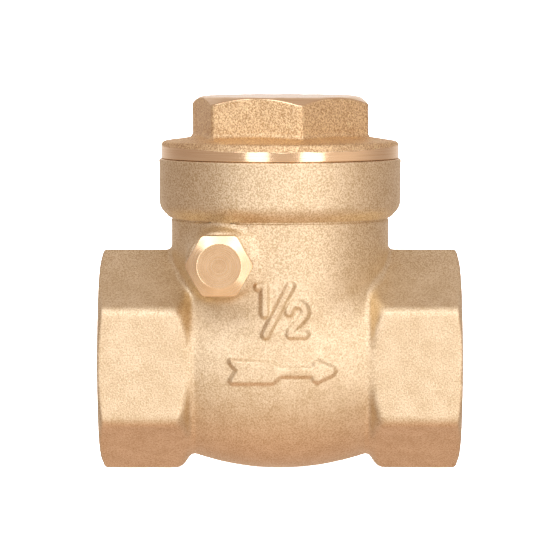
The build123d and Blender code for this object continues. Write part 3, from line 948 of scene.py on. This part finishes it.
def body_gain(nodes):
    """Strength of the grain: rougher on the neck and ring than on the barrel and ends."""
    _, height, _ = distance_from(nodes, VALVE_AXIS, "Z")
    return nodes.spread(height, 11.0, 15.0, 1.2, 2.8)


def cap_gain(_):
    """Strength of the grain, the same all over the cap."""
    return EVEN_GAIN


VALVE_AXIS = (CENTRE_X, 0.0, 0.0)
HINGE_LINE = (CENTRE_X + HINGE_X, 0.0, HINGE_Z)
EVEN_GAIN = 2.1
# Each pair is the colour of the hollows and of the tops, or of the darker and lighter clouds.
BODY_BRASS = ((0.66, 0.52, 0.32), (0.93, 0.81, 0.605))
CAP_BRASS = ((0.62, 0.42, 0.235), (1.0, 0.8, 0.51))
TURNED_BRASS = ((0.88, 0.66, 0.43), (0.98, 0.79, 0.56))
PLUG_BRASS = ((0.84, 0.63, 0.4), (0.92, 0.72, 0.48))
STEEL = ((0.42, 0.42, 0.41), (0.6, 0.6, 0.58))
COPPER = ((0.6, 0.27, 0.16), (0.78, 0.4, 0.25))
RUBBER_STOPS = [(0.3, (0.012, 0.012, 0.013)), (0.75, (0.03, 0.03, 0.03))]
PTFE_STOPS = [(0.3, (0.72, 0.71, 0.68)), (0.7, (0.84, 0.83, 0.8))]

cast_brass = blasted_and_machined(
    "cast_brass_look", BODY_BRASS, grain_size=0.21, depth_mm=0.08,
    gains=body_gain, masks=body_cuts, axis="X",
)
forged_brass = blasted_and_machined(
    "forged_brass_look", CAP_BRASS, grain_size=0.22, depth_mm=0.15,
    gains=cap_gain, masks=cap_cuts, axis="Z",
)
hanger_brass = blasted_metal("hanger_brass_look", CAP_BRASS, grain_size=0.3, depth_mm=0.06, gain=EVEN_GAIN)
turned_brass = turned_metal("turned_brass_look", TURNED_BRASS, 0.26, "X", VALVE_AXIS)
plug_brass = turned_metal("plug_brass_look", PLUG_BRASS, 0.25, "Y", HINGE_LINE, depth_mm=0.0008)
steel = turned_metal("ground_steel_look", STEEL, 0.25, "Y", HINGE_LINE)
washer_steel = turned_metal("washer_steel_look", STEEL, 0.3, "X", VALVE_AXIS)
copper = turned_metal("copper_look", COPPER, 0.35, "Y", HINGE_LINE)
rubber = soft_material("rubber_look", (0.8, 4.0, 0.6), RUBBER_STOPS, (0.5, 0.65), 6.0, 0.01)
ptfe = soft_material("ptfe_look", (0.5, 3.0, 0.6), PTFE_STOPS, (0.35, 0.45), 4.0, 0.006)


# ---- Pieces ----------------------------------------------------------------------------------------
def add_piece(name, node, body, material, shape, low, high, step):
    """A sculpted piece in place of a CAD node, from a grid between two corners in millimetres."""
    piece = sculpt(name, shape, low, high, step)
    piece.data.materials.append(material)
    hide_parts(node)
    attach(piece, body)


def dress(node, material):
    """Gives a CAD node, whose shape is already right, its material."""
    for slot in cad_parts[node].material_slots:
        slot.material = material


FINE_STEP = 0.09
add_piece("body_casting", "valve_body", "body", cast_brass, valve_body_shape,
          (-25.4, -17.4, -15.8), (25.4, 17.4, 28.3), 0.22)
add_piece("cap_forging", "bonnet_cap", "bonnet", forged_brass, bonnet_cap_shape,
          (-17.0, -17.0, 21.4), (17.0, 17.0, 37.0), 0.16)
add_piece("plug_hexagon", "hinge_pin_plug", "plug", plug_brass, hinge_pin_plug_shape,
          (-13.0, -20.0, 8.9), (-3.2, -11.2, 18.7), FINE_STEP)
add_piece("hanger_arm", "disc_hanger", "hanger", hanger_brass, disc_hanger_shape,
          (-11.4, -5.3, -4.8), (-1.9, 5.3, 17.2), 0.12)
add_piece("disc_turning", "disc_holder", "disc", turned_brass, disc_holder_shape,
          (-12.0, -8.7, -8.7), (1.7, 8.7, 8.7), 0.11)
add_piece("stud_nut", "hanger_nut", "disc", turned_brass, hanger_nut_shape,
          (-2.1, -4.0, -4.0), (0.9, 4.0, 4.0), FINE_STEP)
add_piece("seat_nut", "seat_disc_nut", "disc", turned_brass, seat_disc_nut_shape,
          (-11.5, -3.4, -3.4), (-9.1, 3.4, 3.4), FINE_STEP)

dress("hinge_pin", steel)
dress("hanger_washer", washer_steel)
dress("seat_disc_washer", washer_steel)
dress("seat_disc", rubber)
dress("bonnet_gasket", ptfe)
dress("plug_seal_washer", copper)


# ---- Camera, light and floor -----------------------------------------------------------------------
def aim(thing, target):
    """Turns a camera or lamp so that it looks at a target."""
    way = Vector(target) - thing.location
    thing.rotation_euler = way.to_track_quat("-Z", "Y").to_euler()


VALVE_X = CENTRE_X * MM
CAMERA_PLACE = (VALVE_X, -0.6, 0.052)
CAMERA_TARGET = (VALVE_X, 0.0, 0.01094)
CAMERA_LENS = 278.3
LAMP_DISTANCE = 0.9
LAMP_TARGET_Z = 0.01
LAMP_COLOUR = (0.95, 0.96, 1.0)
STAGE_RADIUS = 2.5
FLOOR_GAP = 0.0002
ROOM_LIGHT = (0.45, 0.338, 0.278)
# Directions from the valve, each with the light that is added to the room's from there.
ROOM_GLOWS = [
    ((0.0, -1.0, 0.0), (0.18, 0.148, 0.122)),
    ((0.0, 0.0, 1.0), (0.18, 0.148, 0.122)),
    ((0.0, 0.2, -0.98), (0.28, 0.07, 0.0)),
    ((0.0, -0.6, -0.8), (0.48, 0.4, 0.315)),
    ((0.87, -0.5, 0.0), (0.42, 0.345, 0.285)),
    ((-0.8, -0.6, 0.0), (0.08, 0.066, 0.054)),
    ((0.0, 1.0, 0.0), (0.5, 0.5, 0.5)),
]


def add_camera():
    camera = bpy.data.objects.new("camera", bpy.data.cameras.new("camera"))
    bpy.context.scene.collection.objects.link(camera)
    camera.location = CAMERA_PLACE
    camera.data.lens = CAMERA_LENS
    camera.data.clip_start = 0.01
    aim(camera, CAMERA_TARGET)
    bpy.context.scene.camera = camera


def add_light(name, azimuth, elevation, width, height, power):
    """Soft box in a direction from the valve: azimuth 0 is the viewer's side, 90 is +X."""
    light = bpy.data.lights.new(name, "AREA")
    light.shape = "RECTANGLE"
    light.size = width
    light.size_y = height
    light.energy = power
    light.color = LAMP_COLOUR
    lamp = bpy.data.objects.new(name, light)
    bpy.context.scene.collection.objects.link(lamp)
    turn = math.radians(azimuth)
    rise = math.radians(elevation)
    level_distance = LAMP_DISTANCE * math.cos(rise)
    lamp.location = (
        VALVE_X + level_distance * math.sin(turn),
        -level_distance * math.cos(turn),
        LAMP_TARGET_Z + LAMP_DISTANCE * math.sin(rise),
    )
    aim(lamp, (VALVE_X, 0.0, LAMP_TARGET_Z))


def add_surroundings():
    """Warm room light, with a soft glow added round each of a few directions."""
    world = bpy.data.worlds.new("studio")
    nodes = Nodes(world)
    place = nodes.tree.nodes.new("ShaderNodeTexCoord").outputs["Generated"]
    light = ROOM_LIGHT
    for direction, colour in ROOM_GLOWS:
        facing = nodes.math("MAXIMUM", nodes.vector_math("DOT_PRODUCT", place, direction), 0.0)
        square = nodes.math("MULTIPLY", facing, facing)
        light = nodes.add_scaled(nodes.math("MULTIPLY", square, square), colour, light)
    nodes.join(light, nodes.tree.nodes["Background"].inputs["Color"])
    bpy.context.scene.world = world


def glow(name, colour, strength):
    """A matt white that shines by itself, so that it renders as pure white."""
    material = bpy.data.materials.new(name)
    material.use_nodes = True
    shader = material.node_tree.nodes["Principled BSDF"]
    shader.inputs["Base Color"].default_value = (*colour, 1.0)
    shader.inputs["Roughness"].default_value = 0.8
    shader.inputs["Emission Color"].default_value = (*colour, 1.0)
    shader.inputs["Emission Strength"].default_value = strength
    return material


def add_stage():
    """A plain white floor and a white dome round it; polished metal doesn't mirror them."""
    place = (VALVE_X, 0.0, cad_bounds[0][2] - FLOOR_GAP)
    bpy.ops.mesh.primitive_circle_add(vertices=96, radius=STAGE_RADIUS, fill_type="NGON", location=place)
    floor = bpy.context.object
    floor.name = "floor"
    floor.data.materials.append(glow("floor_white", (0.95, 0.95, 0.95), 1.2))
    bpy.ops.mesh.primitive_uv_sphere_add(segments=64, ring_count=32, radius=STAGE_RADIUS, location=place)
    dome = bpy.context.object
    dome.name = "dome"
    dome.data.materials.append(glow("dome_white", (1.0, 1.0, 1.0), 1.1))
    for thing in (floor, dome):
        thing.visible_glossy = False


bpy.context.scene.view_settings.view_transform = "Standard"
add_camera()
add_surroundings()
add_light("left_box", azimuth=-21.5, elevation=7.0, width=0.34, height=1.2, power=2.15)
add_light("right_box", azimuth=31.0, elevation=5.0, width=0.36, height=1.2, power=2.36)
add_light("top_box", azimuth=0.0, elevation=50.0, width=1.5, height=0.46, power=3.6)
add_stage()
